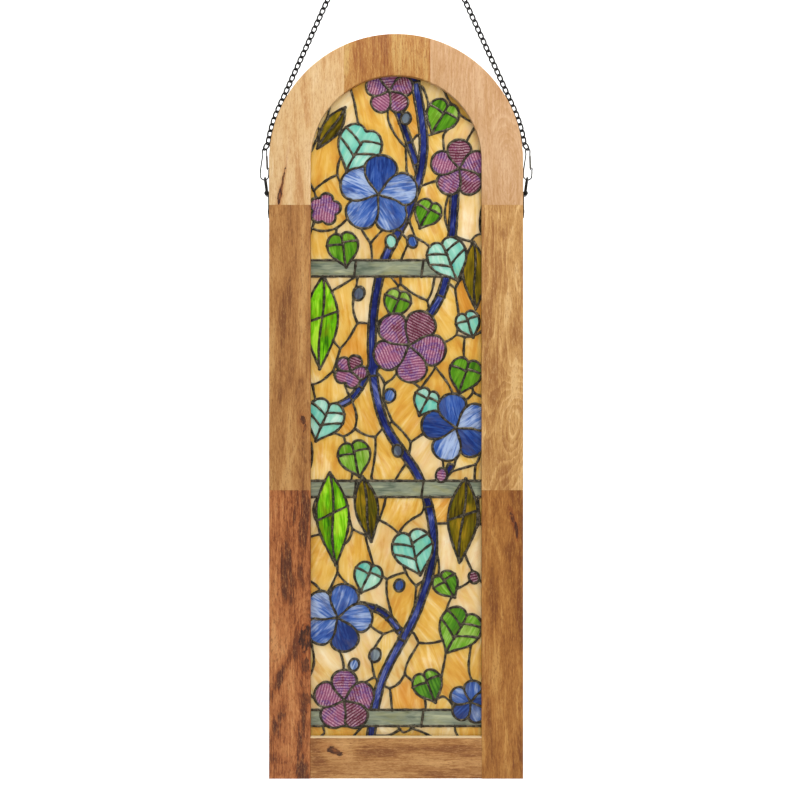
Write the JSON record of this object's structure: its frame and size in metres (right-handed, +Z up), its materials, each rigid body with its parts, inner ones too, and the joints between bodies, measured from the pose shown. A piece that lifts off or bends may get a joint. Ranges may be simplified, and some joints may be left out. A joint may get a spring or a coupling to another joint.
{
  "type": "hanging stained glass window panel",
  "caption": "Tall arch-topped stained glass panel, flowering vine on a trellis in soldered opalescent glass, set in a solid wood frame and hung by a black chain.",
  "frame": {"origin": "the point where the chain hangs on its hook, at the middle link", "axes": "+Z up along the panel's height, +X to the viewer's right seen from the front, the front faces -Y"},
  "size_m": [0.3366, 0.019, 1.1386],
  "materials": {
    "wood": "solid mango wood, sanded, thin satin oil finish",
    "solder": "tin-lead solder beads over copper foil, dark patina",
    "black_steel": "steel wire and strap, satin black coating",
    "amber_glass": "opalescent sheet glass, honey and cream streaks",
    "grey_green_glass": "opalescent sheet glass, grey-green, smoky streaks",
    "cobalt_glass": "streaky sheet glass, deep cobalt",
    "blue_glass": "streaky sheet glass, blue with pale streaks",
    "purple_glass": "rippled sheet glass, plum with pink ripples",
    "aqua_glass": "opalescent sheet glass, pale aqua",
    "green_glass": "streaky sheet glass, leaf green",
    "olive_glass": "streaky sheet glass, olive and amber"
  },
  "bodies": {
    "root": {"amber_ground_1": "amber_glass", "amber_ground_10": "amber_glass", "amber_ground_2": "amber_glass", "amber_ground_3": "amber_glass", "amber_ground_4": "amber_glass", "amber_ground_5": "amber_glass", "amber_ground_6": "amber_glass", "amber_ground_7": "amber_glass", "amber_ground_8": "amber_glass", "amber_ground_9": "amber_glass", "aqua_leaf_high": "aqua_glass", "aqua_leaf_left": "aqua_glass", "aqua_leaf_low": "aqua_glass", "aqua_leaf_right": "aqua_glass", "arch_board_left": "wood", "arch_board_middle": "wood", "arch_board_right": "wood", "blue_flower_high": "blue_glass", "blue_flower_low": "blue_glass", "blue_flower_middle": "blue_glass", "bottom_rail": "wood", "chain_middle_link": "black_steel", "green_leaf_right": "green_glass", "left_chain_run": "black_steel", "left_d_ring": "black_steel", "left_lower_stile": "wood", "left_spring_clip": "black_steel", "left_strap_hanger": "black_steel", "left_strap_screw": "black_steel", "left_upper_stile": "wood", "long_leaf_edge": "green_glass", "long_leaf_left": "green_glass", "long_leaf_right": "olive_glass", "purple_flower_high": "purple_glass", "purple_flower_low": "purple_glass", "purple_flower_middle": "purple_glass", "right_chain_run": "black_steel", "right_d_ring": "black_steel", "right_lower_stile": "wood", "right_spring_clip": "black_steel", "right_strap_hanger": "black_steel", "right_strap_screw": "black_steel", "right_upper_stile": "wood", "solder_network": "solder", "trellis_bar_1": "grey_green_glass", "trellis_bar_2": "grey_green_glass", "trellis_bar_3": "grey_green_glass", "trellis_bar_4": "grey_green_glass", "trellis_bar_5": "grey_green_glass", "trellis_bar_6": "grey_green_glass", "trellis_bar_7": "grey_green_glass", "vine_stem_1": "cobalt_glass", "vine_stem_2": "cobalt_glass", "vine_stem_3": "cobalt_glass", "vine_stem_4": "cobalt_glass", "vine_stem_5": "cobalt_glass", "vine_stem_6": "cobalt_glass"}
  },
  "joints": []
}
